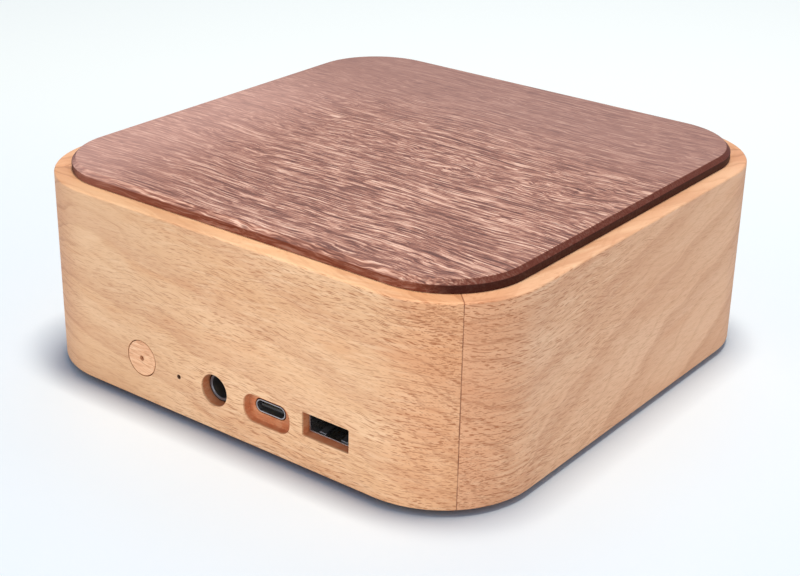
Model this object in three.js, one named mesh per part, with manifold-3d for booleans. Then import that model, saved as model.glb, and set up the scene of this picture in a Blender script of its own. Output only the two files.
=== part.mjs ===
// Desktop carbon dioxide monitor in a wooden case, as an assembly of separate pieces.
// A square frame of four mitred beech boards with large outer corner radii carries a
// chamfered dark hardwood top plate, let into the frame by a rebated tongue. A plastic
// base plate on four rubber feet closes it from below and carries the circuit boards.
// The port side has a round push button, a pinhole for the reset switch, a round power
// socket and two flat sockets. Behind the far board's thin window sits the numeric display.
//
// Millimetres, +Z up. Origin: centre of the footprint on the table plane (underside of the feet).
// -Y is the port side, +Y the display side.
import * as THREE from "three";
import { mergeVertices } from "three/addons/utils/BufferGeometryUtils.js";
import Module from "manifold-3d";

const wasm = await Module();
wasm.setup();

// ---------- driving dimensions ----------
const HALF = 70; // half of the square footprint, outside of the boards
const R_BODY = 25; // outer corner radius of the frame
const BOARD_T = 12; // board thickness
const IN = HALF - BOARD_T; // half of the clear inside
const Z_BODY = 1.5; // underside of the frame, above the table
const BODY_H = 50;
const Z_TOP = Z_BODY + BODY_H; // rim of the frame
const CORNER_SEG = 10; // facets in each half corner

const TOP_INSET = 4.4; // reveal of the rim around the top plate
const TOP_HALF = HALF - TOP_INSET;
const TOP_R = 20.6;
const TOP_SIDE = 2.0; // upright part of the visible edge
const TOP_CHAMFER = 1.1;
const TONGUE_HALF = IN - 0.3;
const TONGUE_H = 3.0;

const REBATE_HALF = 64.6; // recess in the frame's underside
const REBATE_R = 19.6;
const Z_LEDGE = 4.8;
const BASE_HALF = 64.3;
const BASE_R = 19.3;
const Z_BASE = 1.8; // underside of the base plate
const FOOT_R = 6;
const FOOT_XY = 50;

const PORT_WALL = 3; // wood left between the port pocket and the outside
const Y_WALL = -HALF + PORT_WALL; // inner face of that wall
const POCKET = { x0: -40, x1: 44, z1: 22 };
const SET_BACK = 2.3; // socket mouths behind the outside face

const BUTTON = { x: -26.7, z: 12.8, hole: 9.5, cap: 9.1, bore: 1.4, flange: 11.6, travel: 0.4 };
const PIN = { x: -14.1, z: 11.9, d: 1.0 };
const JACK = { x: -2.6, z: 12.1, hole: 8.1, nose: 7.8, mouth: 6.0, pin: 2.1 };
const PORT_C = { x: 13.8, z: 11.6, w: 14.2, h: 7.2, r: 3.0, floor: 2.0, sx: 13.4, sz: 11.8, sw: 8.94, sh: 3.2, holeW: 9.5, holeH: 3.7 };
const PORT_A = { x: 31.4, z: 13.0, w: 13.5, h: 6.0, sw: 13.1, sh: 5.7 };

const Z_PCB = 10.2; // component face of the main board
const PCB_T = 1.6;
const PCB = { x0: -38, x1: 42, y0: -66.6, y1: -12 };

// ---------- helpers ----------
const V2 = (x, y) => new THREE.Vector2(x, y);

// Rounded rectangle outline, counter-clockwise, n facets a corner.
function rrect(cx, cy, w, h, r, n = 4) {
  const pts = [];
  for (const [sx, sy, a0] of [[1, 1, 0], [-1, 1, 90], [-1, -1, 180], [1, -1, 270]]) {
    for (let k = 0; k <= n; k++) {
      const a = ((a0 + (90 * k) / n) * Math.PI) / 180;
      pts.push(V2(cx + sx * (w / 2 - r) + r * Math.cos(a), cy + sy * (h / 2 - r) + r * Math.sin(a)));
    }
  }
  return pts;
}
function rect(x0, y0, x1, y1) {
  return [V2(x0, y0), V2(x1, y0), V2(x1, y1), V2(x0, y1)];
}
function circle(cx, cy, r, n = 24) {
  const pts = [];
  for (let k = 0; k < n; k++) {
    const a = ((k + 0.5) / n) * 2 * Math.PI;
    pts.push(V2(cx + r * Math.cos(a), cy + r * Math.sin(a)));
  }
  return pts;
}

function manifoldOf(geometry) {
  const g = geometry.index ? geometry.toNonIndexed() : geometry.clone();
  g.deleteAttribute("normal");
  g.deleteAttribute("uv");
  const merged = mergeVertices(g, 1e-4);
  return new wasm.Manifold(
    new wasm.Mesh({
      numProp: 3,
      vertProperties: new Float32Array(merged.attributes.position.array),
      triVerts: new Uint32Array(merged.index.array),
    }),
  );
}
// Prism over an XY outline from z0 to z1.
function prismZ(outline, z0, z1) {
  const g = new THREE.ExtrudeGeometry(new THREE.Shape(outline), { depth: z1 - z0, bevelEnabled: false });
  g.translate(0, 0, z0);
  return manifoldOf(g);
}
// Prism over an XZ outline from y0 to y1.
function prismY(outline, y0, y1) {
  const g = new THREE.ExtrudeGeometry(new THREE.Shape(outline), { depth: y1 - y0, bevelEnabled: false });
  g.rotateX(Math.PI / 2);
  g.translate(0, y1, 0);
  return manifoldOf(g);
}
// Prism over a YZ outline from x0 to x1.
function prismX(outline, x0, x1) {
  const g = new THREE.ExtrudeGeometry(new THREE.Shape(outline), { depth: x1 - x0, bevelEnabled: false });
  g.applyMatrix4(new THREE.Matrix4().makeBasis(new THREE.Vector3(0, 1, 0), new THREE.Vector3(0, 0, 1), new THREE.Vector3(1, 0, 0)));
  g.translate(x0, 0, 0);
  return manifoldOf(g);
}
const box = (x0, y0, z0, x1, y1, z1) => {
  const g = new THREE.BoxGeometry(x1 - x0, y1 - y0, z1 - z0);
  g.translate((x0 + x1) / 2, (y0 + y1) / 2, (z0 + z1) / 2);
  return manifoldOf(g);
};
const rodZ = (x, y, r, z0, z1, n = 24) => prismZ(circle(x, y, r, n), z0, z1);
const rodY = (x, z, r, y0, y1, n = 24) => prismY(circle(x, z, r, n), y0, y1);
// Solid of revolution about a vertical axis; the profile runs up from the axis and back to it.
function turned(x, y, profile, n = 24) {
  const g = new THREE.LatheGeometry(profile.map(([r, z]) => V2(r, z)), n);
  g.rotateX(Math.PI / 2);
  g.translate(x, y, 0);
  return manifoldOf(g);
}
// Stack of rings with equal point counts, each [outline, z], closed by fans.
function stack(rings) {
  const n = rings[0][0].length;
  const pos = [];
  const tri = (a, b, c) => pos.push(...a, ...b, ...c);
  const p = rings.map(([o, z]) => o.map((q) => [q.x, q.y, z]));
  for (let i = 0; i + 1 < p.length; i++)
    for (let k = 0; k < n; k++) {
      const l = (k + 1) % n;
      tri(p[i][k], p[i][l], p[i + 1][l]);
      tri(p[i][k], p[i + 1][l], p[i + 1][k]);
    }
  const last = p.length - 1;
  for (let k = 1; k + 1 < n; k++) {
    tri(p[0][0], p[0][k + 1], p[0][k]);
    tri(p[last][0], p[last][k], p[last][k + 1]);
  }
  const g = new THREE.BufferGeometry().setAttribute("position", new THREE.BufferAttribute(new Float32Array(pos), 3));
  return manifoldOf(g);
}
const cut = (a, ...others) => others.reduce((s, o) => s.subtract(o), a);
const join = (a, ...others) => others.reduce((s, o) => s.add(o), a);

// ---------- materials ----------
const mat = (color, roughness, metalness = 0, extra = {}) => new THREE.MeshStandardMaterial({ color, roughness, metalness, ...extra });
const M = {
  beech: mat(0xdcb28c, 0.62),
  beechCap: mat(0xe8c2a2, 0.6),
  redwood: mat(0xa87468, 0.6),
  blackPlastic: mat(0x1c1d1f, 0.55),
  rubber: mat(0x151515, 0.9),
  steel: mat(0xb9bbbd, 0.32, 1),
  zinc: mat(0x9da0a3, 0.4, 1),
  contact: mat(0xc9a15a, 0.3, 1),
  board: mat(0x14402a, 0.5),
  clear: mat(0xd9e2e6, 0.25, 0, { transparent: true, opacity: 0.7 }),
  whitePlastic: mat(0xe6e4de, 0.5),
  gold: mat(0xc7a24e, 0.35, 1),
  chip: mat(0x1a1a1c, 0.5),
  can: mat(0xb4b6b8, 0.35, 1),
  ribbon: mat(0xe9e9ea, 0.5),
  greyWire: mat(0x6b6e72, 0.6),
};

const monitor = new THREE.Group();
function add(name, solid, material) {
  const m = solid.getMesh();
  const pos = new Float32Array(m.numVert * 3);
  for (let i = 0; i < m.numVert; i++) pos.set(m.vertProperties.subarray(i * m.numProp, i * m.numProp + 3), i * 3);
  const g = new THREE.BufferGeometry().setAttribute("position", new THREE.BufferAttribute(pos, 3)).setIndex(new THREE.BufferAttribute(new Uint32Array(m.triVerts), 1));
  g.computeVertexNormals();
  const mesh = new THREE.Mesh(g, material);
  mesh.name = name;
  monitor.add(mesh);
  return mesh;
}

// ---------- wooden frame ----------
// Footprint of one mitred board on the -Y side; quarter turns give the other three.
const MITRE = HALF - R_BODY + R_BODY * Math.SQRT1_2;
function boardOutline(turns) {
  const c = HALF - R_BODY;
  const pts = [[-IN, -IN], [-MITRE, -MITRE]];
  for (let k = 1; k < CORNER_SEG; k++) {
    const a = ((225 + (45 * k) / CORNER_SEG) * Math.PI) / 180;
    pts.push([-c + R_BODY * Math.cos(a), -c + R_BODY * Math.sin(a)]);
  }
  pts.push([-c, -HALF], [c, -HALF]);
  for (let k = 1; k < CORNER_SEG; k++) {
    const a = ((270 + (45 * k) / CORNER_SEG) * Math.PI) / 180;
    pts.push([c + R_BODY * Math.cos(a), -c + R_BODY * Math.sin(a)]);
  }
  pts.push([MITRE, -MITRE], [IN, -IN]);
  return pts.map(([x, y]) => {
    for (let t = 0; t < turns; t++) [x, y] = [-y, x];
    return V2(x, y);
  });
}
const rebate = prismZ(rrect(0, 0, 2 * REBATE_HALF, 2 * REBATE_HALF, REBATE_R, CORNER_SEG), Z_BODY - 1, Z_LEDGE);
const SCREW_X = 61.3;
const SCREW_Y = 38;
const board = (turns) => cut(prismZ(boardOutline(turns), Z_BODY, Z_TOP), rebate);
const pilot = (x, y) => rodZ(x, y, 1.45, Z_LEDGE - 1, Z_LEDGE + 9.5, 12);

const portBoard = cut(
  board(0),
  box(POCKET.x0, Y_WALL, Z_BODY - 1, POCKET.x1, -IN + 1, POCKET.z1), // inside pocket, open below
  rodY(BUTTON.x, BUTTON.z, BUTTON.hole / 2, -HALF - 1, Y_WALL + 1, 32),
  rodY(PIN.x, PIN.z, PIN.d / 2, -HALF - 1, Y_WALL + 1, 10),
  rodY(JACK.x, JACK.z, JACK.hole / 2, -HALF - 1, Y_WALL + 1, 28),
  prismY(rrect(PORT_C.x, PORT_C.z, PORT_C.w, PORT_C.h, PORT_C.r, 6), -HALF - 1, -HALF + PORT_C.floor),
  prismY(rrect(PORT_C.sx, PORT_C.sz, PORT_C.holeW, PORT_C.holeH, PORT_C.holeH / 2 - 0.05, 5), -HALF - 1, Y_WALL + 1),
  prismY(rrect(PORT_A.x, PORT_A.z, PORT_A.w, PORT_A.h, 0.3, 2), -HALF - 1, Y_WALL + 1),
);
// The pocket's lower edge keeps the bottom skirt of the board in front of the base plate.
const skirt = cut(
  prismZ(boardOutline(0), Z_BODY, Z_LEDGE),
  prismZ(rrect(0, 0, 2 * REBATE_HALF, 2 * REBATE_HALF, REBATE_R, CORNER_SEG), Z_BODY - 1, Z_LEDGE + 1),
);
add("frame_board_port_side", join(portBoard, skirt), M.beech);
add("frame_board_right", cut(board(1), pilot(SCREW_X, -SCREW_Y), pilot(SCREW_X, SCREW_Y)), M.beech);
const DISPLAY = { x: 38, z0: 15.5, z1: 37.5 };
add(
  "frame_board_display_side",
  cut(
    board(2),
    box(-DISPLAY.x - 0.5, IN - 1, DISPLAY.z0 - 0.5, DISPLAY.x + 0.5, HALF - 1.8, DISPLAY.z1 + 0.5), // thin window for the display
    rodY(-42.5, 26.5, 1.15, IN - 1, IN + 6, 12),
    rodY(42.5, 26.5, 1.15, IN - 1, IN + 6, 12),
  ),
  M.beech,
);
add("frame_board_left", cut(board(3), pilot(-SCREW_X, -SCREW_Y), pilot(-SCREW_X, SCREW_Y)), M.beech);

// ---------- top plate: one board with a chamfered edge and a locating tongue ----------
{
  const n = CORNER_SEG * 2;
  const t = 2 * TONGUE_HALF;
  const w = 2 * TOP_HALF;
  add(
    "top_plate",
    stack([
      [rrect(0, 0, t, t, 0.6, n), Z_TOP - TONGUE_H],
      [rrect(0, 0, t, t, 0.6, n), Z_TOP],
      [rrect(0, 0, w, w, TOP_R, n), Z_TOP],
      [rrect(0, 0, w, w, TOP_R, n), Z_TOP + TOP_SIDE],
      [rrect(0, 0, w - 2 * TOP_CHAMFER, w - 2 * TOP_CHAMFER, TOP_R - TOP_CHAMFER, n), Z_TOP + TOP_SIDE + TOP_CHAMFER],
    ]),
    M.redwood,
  );
}

// ---------- base plate with vents and board posts ----------
const PCB_POSTS = [[-34.5, -55], [38.5, -49], [-34.5, -16], [38.5, -16]];
const SENSOR_POSTS = [[-38.5, 18], [-5.5, 18]];
const Z_POST = Z_PCB - PCB_T;
{
  let s = prismZ(rrect(0, 0, 2 * BASE_HALF, 2 * BASE_HALF, BASE_R, CORNER_SEG), Z_BASE, Z_LEDGE);
  for (const [x, y] of [...PCB_POSTS, ...SENSOR_POSTS]) s = s.add(rodZ(x, y, 3, Z_LEDGE - 0.5, Z_POST, 16));
  for (const [x, y] of [...PCB_POSTS, ...SENSOR_POSTS]) s = s.subtract(rodZ(x, y, 1.35, Z_LEDGE - 1.8, Z_POST + 1, 10));
  for (const side of [-22, 26])
    for (let k = -3; k <= 3; k++) s = s.subtract(prismZ(rrect(side + 4 * k, 18, 2.2, 22, 1.05, 2), Z_BASE - 1, Z_LEDGE + 1));
  for (const sx of [-1, 1])
    for (const sy of [-1, 1]) {
      s = s.subtract(
        turned(sx * SCREW_X, sy * SCREW_Y, [[0, Z_BASE - 0.5], [2.7, Z_BASE - 0.5], [2.7, Z_BASE + 0.3], [1.55, Z_BASE + 1.5], [1.55, Z_LEDGE + 0.5], [0, Z_LEDGE + 0.5]], 16),
      );
    }
  add("base_plate", s, M.blackPlastic);
}
let count = 0;
for (const sy of [-1, 1])
  for (const sx of [-1, 1]) {
    count++;
    add("foot_" + count, turned(sx * FOOT_XY, sy * FOOT_XY, [[0, 0], [FOOT_R - 0.9, 0], [FOOT_R - 0.3, 0.5], [FOOT_R, Z_BASE], [0, Z_BASE]], 28), M.rubber);
    const x = sx * SCREW_X;
    const y = sy * SCREW_Y;
    const screw = cut(
      turned(x, y, [[0, Z_BASE + 0.2], [2.5, Z_BASE + 0.2], [2.5, Z_BASE + 0.45], [1.3, Z_BASE + 1.65], [1.3, Z_LEDGE + 7.6], [0, Z_LEDGE + 9]], 16),
      box(x - 1.5, y - 0.35, Z_BASE - 1, x + 1.5, y + 0.35, Z_BASE + 1.1),
      box(x - 0.35, y - 1.5, Z_BASE - 1, x + 0.35, y + 1.5, Z_BASE + 1.1),
    );
    add("base_screw_" + count, screw, M.zinc);
  }

// ---------- push button ----------
const Y_CAP = Y_WALL + 0.1; // rear of the wooden cap
add(
  "button_cap",
  cut(rodY(BUTTON.x, BUTTON.z, BUTTON.cap / 2, -HALF, Y_CAP, 32), rodY(BUTTON.x, BUTTON.z, BUTTON.bore / 2, -HALF - 1, Y_CAP + 1, 12)),
  M.beechCap,
);
add(
  "button_plunger",
  join(
    rodY(BUTTON.x, BUTTON.z, BUTTON.flange / 2, Y_CAP, Y_CAP + 0.8, 28),
    rodY(BUTTON.x, BUTTON.z, 0.55, -HALF + 1.4, Y_CAP + 0.4, 10),
    rodY(BUTTON.x, BUTTON.z, 1.75, Y_CAP + 0.4, -63.6, 16),
  ),
  M.clear,
);
add("button_switch_actuator", rodY(BUTTON.x, BUTTON.z, 1.7, -63.55, -61.6, 16), M.blackPlastic);
add(
  "button_switch_body",
  cut(box(BUTTON.x - 3, -62.3, Z_PCB, BUTTON.x + 3, -58.8, Z_PCB + 5.8), rodY(BUTTON.x, BUTTON.z, 1.9, -63, -60.9, 16)),
  M.chip,
);
add("button_light", box(BUTTON.x + 4.1, -64.6, Z_PCB, BUTTON.x + 5.7, -61.4, Z_PCB + 1.2), M.clear);

// ---------- reset switch behind the pinhole ----------
add("reset_switch_actuator", rodY(PIN.x, PIN.z, 0.9, -66.2, -64.7, 12), M.whitePlastic);
add(
  "reset_switch_body",
  cut(box(PIN.x - 2.3, -65.2, Z_PCB, PIN.x + 2.3, -61.8, Z_PCB + 3.5), rodY(PIN.x, PIN.z, 1.05, -66, -64.2, 12)),
  M.can,
);

// ---------- round power socket ----------
const Y_MOUTH = -HALF + SET_BACK;
add(
  "power_socket_body",
  cut(
    join(
      rodY(JACK.x, JACK.z, JACK.nose / 2, Y_MOUTH, -65.5, 28),
      box(JACK.x - 4.5, -66.7, 8.4, JACK.x + 4.5, -56, 16.2),
    ),
    rodY(JACK.x, JACK.z, JACK.mouth / 2, Y_MOUTH - 1, -57.5, 28),
  ),
  M.blackPlastic,
);
add("power_socket_pin", rodY(JACK.x, JACK.z, JACK.pin / 2, -65.7, -57.5, 16), M.contact);

// ---------- small flat socket ----------
{
  const r = PORT_C.sh / 2 - 0.02;
  add(
    "small_socket_shell",
    cut(
      prismY(rrect(PORT_C.sx, PORT_C.sz, PORT_C.sw, PORT_C.sh, r, 6), -HALF + PORT_C.floor, -60.7),
      prismY(rrect(PORT_C.sx, PORT_C.sz, PORT_C.sw - 0.6, PORT_C.sh - 0.6, r - 0.3, 6), -HALF, -61.3),
    ),
    M.steel,
  );
  add("small_socket_tongue", box(PORT_C.sx - 3.35, -67.3, PORT_C.sz - 0.35, PORT_C.sx + 3.35, -61.3, PORT_C.sz + 0.35), M.blackPlastic);
}

// ---------- large flat socket ----------
{
  const z0 = Z_PCB;
  const x0 = PORT_A.x - PORT_A.sw / 2;
  const x1 = PORT_A.x + PORT_A.sw / 2;
  add(
    "large_socket_shell",
    cut(
      prismY(rrect(PORT_A.x, z0 + PORT_A.sh / 2, PORT_A.sw, PORT_A.sh, 0.5, 2), Y_MOUTH, -53.7),
      prismY(rrect(PORT_A.x, z0 + PORT_A.sh / 2, PORT_A.sw - 0.6, PORT_A.sh - 0.6, 0.3, 2), Y_MOUTH - 1, -54.2),
    ),
    M.steel,
  );
  const top = z0 + PORT_A.sh - 0.3;
  add("large_socket_tongue", join(box(x0 + 1, -65.7, top - 2.5, x1 - 1, -55, top - 0.75), box(x0 + 0.5, -56, z0 + 0.5, x1 - 0.5, -54.3, top - 0.2)), M.blackPlastic);
}

// ---------- main board ----------
{
  let s = box(PCB.x0, PCB.y0, Z_PCB - PCB_T, PCB.x1, PCB.y1, Z_PCB);
  s = cut(
    s,
    box(JACK.x - 4.9, PCB.y0 - 1, 0, JACK.x + 4.9, -55.6, 20), // power socket sits in a notch
    box(BUTTON.x - 6.4, PCB.y0 - 1, 0, BUTTON.x + 6.4, -65.0, 20), // room for the button's flange
  );
  for (const [x, y] of PCB_POSTS) s = s.subtract(rodZ(x, y, 1.4, 0, 20, 12));
  add("main_board", s, M.board);
}
const panScrew = (x, y, z, length) => {
  const s = turned(x, y, [[0, z - length], [1.15, z - length], [1.15, z], [2.3, z], [2.3, z + 0.9], [1.6, z + 1.6], [0, z + 1.6]], 14);
  return cut(s, box(x - 1.2, y - 0.3, z + 0.7, x + 1.2, y + 0.3, z + 3), box(x - 0.3, y - 1.2, z + 0.7, x + 0.3, y + 1.2, z + 3));
};
PCB_POSTS.forEach(([x, y], i) => add("board_screw_" + (i + 1), panScrew(x, y, Z_PCB, 5.6), M.zinc));
add("processor_chip", box(3, -38, Z_PCB, 15, -26, Z_PCB + 1.4), M.chip);
const canProfile = (z) => [[0, z], [3.3, z], [3.3, z + 0.8], [3.15, z + 1.0], [3.15, z + 7.3], [2.7, z + 7.7], [0, z + 7.7]];
add("capacitor_1", turned(-8.5, -48, canProfile(Z_PCB), 20), M.can);
add("capacitor_2", turned(0.5, -48, canProfile(Z_PCB), 20), M.can);
add("power_inductor", prismZ(rrect(12.5, -48, 7.3, 7.3, 1.2, 3), Z_PCB, Z_PCB + 3.4), M.chip);
add("buzzer", cut(rodZ(29, -33, 6, Z_PCB, Z_PCB + 7.5, 28), rodZ(29, -33, 1, Z_PCB + 6, Z_PCB + 9, 12)), M.blackPlastic);

// ---------- carbon dioxide sensor ----------
const Z_SENSOR = Z_POST + 1.2;
{
  let s = box(-42, 6, Z_POST, -2, 30, Z_SENSOR);
  for (const [x, y] of SENSOR_POSTS) s = s.subtract(rodZ(x, y, 1.4, 0, 20, 12));
  add("co2_sensor_board", s, M.board);
  SENSOR_POSTS.forEach(([x, y], i) => add("sensor_screw_" + (i + 1), panScrew(x, y, Z_SENSOR, 5.0), M.zinc));
  const n = 3;
  add(
    "co2_sensor_chamber",
    cut(
      stack([
        [rrect(-22, 19, 26, 20, 2, n), Z_SENSOR],
        [rrect(-22, 19, 26, 20, 2, n), Z_SENSOR + 7.2],
        [rrect(-22, 19, 24.8, 18.8, 1.6, n), Z_SENSOR + 8],
      ]),
      rodZ(-22, 19, 5.2, Z_SENSOR + 7.2, Z_SENSOR + 9, 24),
    ),
    M.gold,
  );
  add("co2_sensor_filter", rodZ(-22, 19, 5, Z_SENSOR + 7.2, Z_SENSOR + 7.8, 24), M.whitePlastic);
}
// Plug and flat cable from the sensor to the main board.
add("sensor_socket", cut(box(-27, -20, Z_PCB, -17, -13, Z_PCB + 5.4), box(-26, -17.5, Z_PCB + 0.9, -18, -12, Z_PCB + 4.5)), M.whitePlastic);
add("sensor_plug", box(-25.8, -17.3, Z_PCB + 1.1, -18.2, -11.4, Z_PCB + 4.3), M.whitePlastic);
{
  // centreline in the YZ plane, offset to a strip
  const mid = [[-11.3, 12.9], [-8, 13.0], [-4.5, 14.2], [-1, 15.0], [2.5, 14.0], [4.6, 12.3], [6.6, 10.6], [7.4, 10.25]];
  add("sensor_cable", strip(mid, 0.5, -25, -19), M.greyWire);
}
function strip(mid, t, x0, x1) {
  const up = [];
  const dn = [];
  mid.forEach(([y, z], i) => {
    const [ya, za] = mid[Math.max(0, i - 1)];
    const [yb, zb] = mid[Math.min(mid.length - 1, i + 1)];
    const l = Math.hypot(yb - ya, zb - za);
    const ny = -(zb - za) / l;
    const nz = (yb - ya) / l;
    up.push(V2(y + (ny * t) / 2, z + (nz * t) / 2));
    dn.push(V2(y - (ny * t) / 2, z - (nz * t) / 2));
  });
  return prismX([...dn, ...up.reverse()], x0, x1);
}

// ---------- display behind the thin window ----------
{
  add("display_board", cut(box(-46, IN - 1.6, 14, 46, IN, 39), rodY(-42.5, 26.5, 1.3, IN - 3, IN + 1, 12), rodY(42.5, 26.5, 1.3, IN - 3, IN + 1, 12)), M.board);
  // Light guide block with a channel for each segment of four digits.
  let s = box(-DISPLAY.x, IN, DISPLAY.z0, DISPLAY.x, HALF - 2.1, DISPLAY.z1);
  const zc = (DISPLAY.z0 + DISPLAY.z1) / 2;
  const w = 8.4;
  const h = 16;
  const t = 1.8;
  for (let d = 0; d < 4; d++) {
    const cx = -27 + 18 * d;
    for (const dz of [-h / 2, 0, h / 2]) s = s.subtract(box(cx - w / 2 + 1.3, IN - 1, zc + dz - t / 2, cx + w / 2 - 1.3, HALF, zc + dz + t / 2));
    for (const sx of [-1, 1])
      for (const sz of [-1, 1]) {
        const c = zc + (sz * h) / 4;
        s = s.subtract(box(cx + (sx * w) / 2 - t / 2, IN - 1, c - h / 4 + 1.4, cx + (sx * w) / 2 + t / 2, HALF, c + h / 4 - 1.4));
      }
  }
  add("display_light_guide", s, M.whitePlastic);
  for (const [i, x] of [[1, -42.5], [2, 42.5]]) {
    const g = cut(
      join(rodY(x, 26.5, 2.2, IN - 3.1, IN - 1.6, 14), rodY(x, 26.5, 0.95, IN - 1.7, IN + 5.6, 10)),
      box(x - 1.1, IN - 4, 26.5 - 0.3, x + 1.1, IN - 2.4, 26.5 + 0.3),
      box(x - 0.3, IN - 4, 26.5 - 1.1, x + 0.3, IN - 2.4, 26.5 + 1.1),
    );
    add("display_screw_" + i, g, M.zinc);
  }
  // Ribbon sockets: the ribbon slides into a slot in each.
  add("ribbon_socket_display", cut(box(1, IN - 4.1, 16.5, 17, IN - 1.6, 21.5), box(2.4, IN - 3.3, 15, 15.6, IN - 2.5, 20.5)), M.whitePlastic);
  add("ribbon_socket_main", cut(box(1, -17.5, Z_PCB, 17, -12.6, Z_PCB + 2.5), box(2.4, -16.5, Z_PCB + 0.9, 15.6, -11, Z_PCB + 1.7)), M.whitePlastic);
  const zr = Z_PCB + 1.3;
  const yr = IN - 2.9;
  const mid = [[-16.3, zr], [-12, zr], [0, 9.8], [14, 8.6], [30, 8.4], [44, 8.6]];
  for (let k = 0; k <= 8; k++) {
    const a = ((-90 + (90 * k) / 8) * Math.PI) / 180;
    mid.push([yr - 6 + 6 * Math.cos(a), 14.8 + 6 * Math.sin(a)]);
  }
  mid.push([yr, 17.5], [yr, 20.2]);
  add("display_ribbon", strip(mid, 0.3, 3, 15), M.ribbon);
}

export default monitor;
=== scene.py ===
import math

import bmesh
import bpy
from mathutils import Matrix, Vector


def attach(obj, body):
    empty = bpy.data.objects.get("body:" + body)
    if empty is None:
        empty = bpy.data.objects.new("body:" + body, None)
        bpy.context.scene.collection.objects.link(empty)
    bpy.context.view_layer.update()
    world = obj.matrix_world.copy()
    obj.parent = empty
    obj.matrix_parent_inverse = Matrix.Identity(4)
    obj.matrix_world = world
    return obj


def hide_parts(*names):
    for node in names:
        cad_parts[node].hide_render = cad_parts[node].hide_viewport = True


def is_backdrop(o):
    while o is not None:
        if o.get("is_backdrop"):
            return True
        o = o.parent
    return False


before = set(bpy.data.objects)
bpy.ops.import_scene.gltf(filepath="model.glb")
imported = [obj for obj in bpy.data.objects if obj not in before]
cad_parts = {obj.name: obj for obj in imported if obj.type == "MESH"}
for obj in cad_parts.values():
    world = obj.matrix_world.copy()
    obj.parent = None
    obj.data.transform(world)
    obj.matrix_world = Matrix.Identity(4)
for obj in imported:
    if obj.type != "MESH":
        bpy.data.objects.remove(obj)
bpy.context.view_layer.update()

MM = 0.001

# ---------------------------------------------------------------- dimensions, mm
HALF = 70.0
R_BODY = 25.0
BOARD_T = 12.0
IN = HALF - BOARD_T
Z_BODY = 1.5
Z_TOP = 51.5
TOP_HALF = HALF - 4.4
TOP_R = 20.6
TOP_SIDE = 2.0
TOP_CHAMFER = 1.1
TONGUE_HALF = IN - 0.3
TONGUE_H = 3.0
REBATE_HALF = 64.6
REBATE_R = 19.6
Z_LEDGE = 4.8
Y_WALL = -67.0
Y_MOUTH = -67.7
POCKET = (-40.0, 44.0, 22.0)
BUTTON = dict(x=-26.7, z=12.8, hole=9.5, cap=9.1, bore=1.4)
PIN = dict(x=-14.1, z=11.9, d=1.0)
JACK = dict(x=-2.6, z=12.1, hole=8.1, nose=7.8, mouth=6.0, pin=2.1)
USBC = dict(x=13.8, z=11.6, w=14.2, h=7.2, r=3.0, sx=13.4, sz=11.8, sw=8.94, sh=3.2, hw=9.5, hh=3.7)
USBA = dict(x=31.4, z=13.0, w=13.5, h=6.0, sw=13.1, sh=5.7)
Z_PCB = 10.2
Z_BASE = 1.8

# ---------------------------------------------------------------- mesh helpers


def new_object(name, mesh):
    o = bpy.data.objects.new(name, mesh)
    bpy.context.scene.collection.objects.link(o)
    return o


def from_bm(name, bm):
    bmesh.ops.remove_doubles(bm, verts=bm.verts, dist=1e-7)
    bmesh.ops.recalc_face_normals(bm, faces=bm.faces)
    me = bpy.data.meshes.new(name)
    bm.to_mesh(me)
    bm.free()
    return new_object(name, me)


def rrect(cx, cy, w, h, r, n):
    pts = []
    for sx, sy, a0 in ((1, 1, 0), (-1, 1, 90), (-1, -1, 180), (1, -1, 270)):
        for k in range(n + 1):
            a = math.radians(a0 + 90.0 * k / n)
            pts.append((cx + sx * (w / 2 - r) + r * math.cos(a), cy + sy * (h / 2 - r) + r * math.sin(a)))
    return pts


def circle(cx, cy, r, n):
    return [(cx + r * math.cos(2 * math.pi * k / n), cy + r * math.sin(2 * math.pi * k / n)) for k in range(n)]


def rings_mesh(name, rings, cap=True):
    """Loft through rings of 3-D points in mm with equal counts, closed by n-gons."""
    bm = bmesh.new()
    rows = [[bm.verts.new(Vector(p) * MM) for p in ring] for ring in rings]
    n = len(rows[0])
    for a, b in zip(rows, rows[1:]):
        for k in range(n):
            l = (k + 1) % n
            bm.faces.new((a[k], a[l], b[l], b[k]))
    if cap:
        bm.faces.new(list(reversed(rows[0])))
        bm.faces.new(rows[-1])
    return from_bm(name, bm)


def prism_z(name, outline, z0, z1):
    return rings_mesh(name, [[(x, y, z0) for x, y in outline], [(x, y, z1) for x, y in outline]])


def prism_y(name, outline, y0, y1):
    return rings_mesh(name, [[(x, y0, z) for x, z in outline], [(x, y1, z) for x, z in outline]])


def prism_x(name, outline, x0, x1):
    return rings_mesh(name, [[(x0, y, z) for y, z in outline], [(x1, y, z) for y, z in outline]])


def box_obj(name, x0, y0, z0, x1, y1, z1):
    return prism_z(name, [(x0, y0), (x1, y0), (x1, y1), (x0, y1)], z0, z1)


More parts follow.
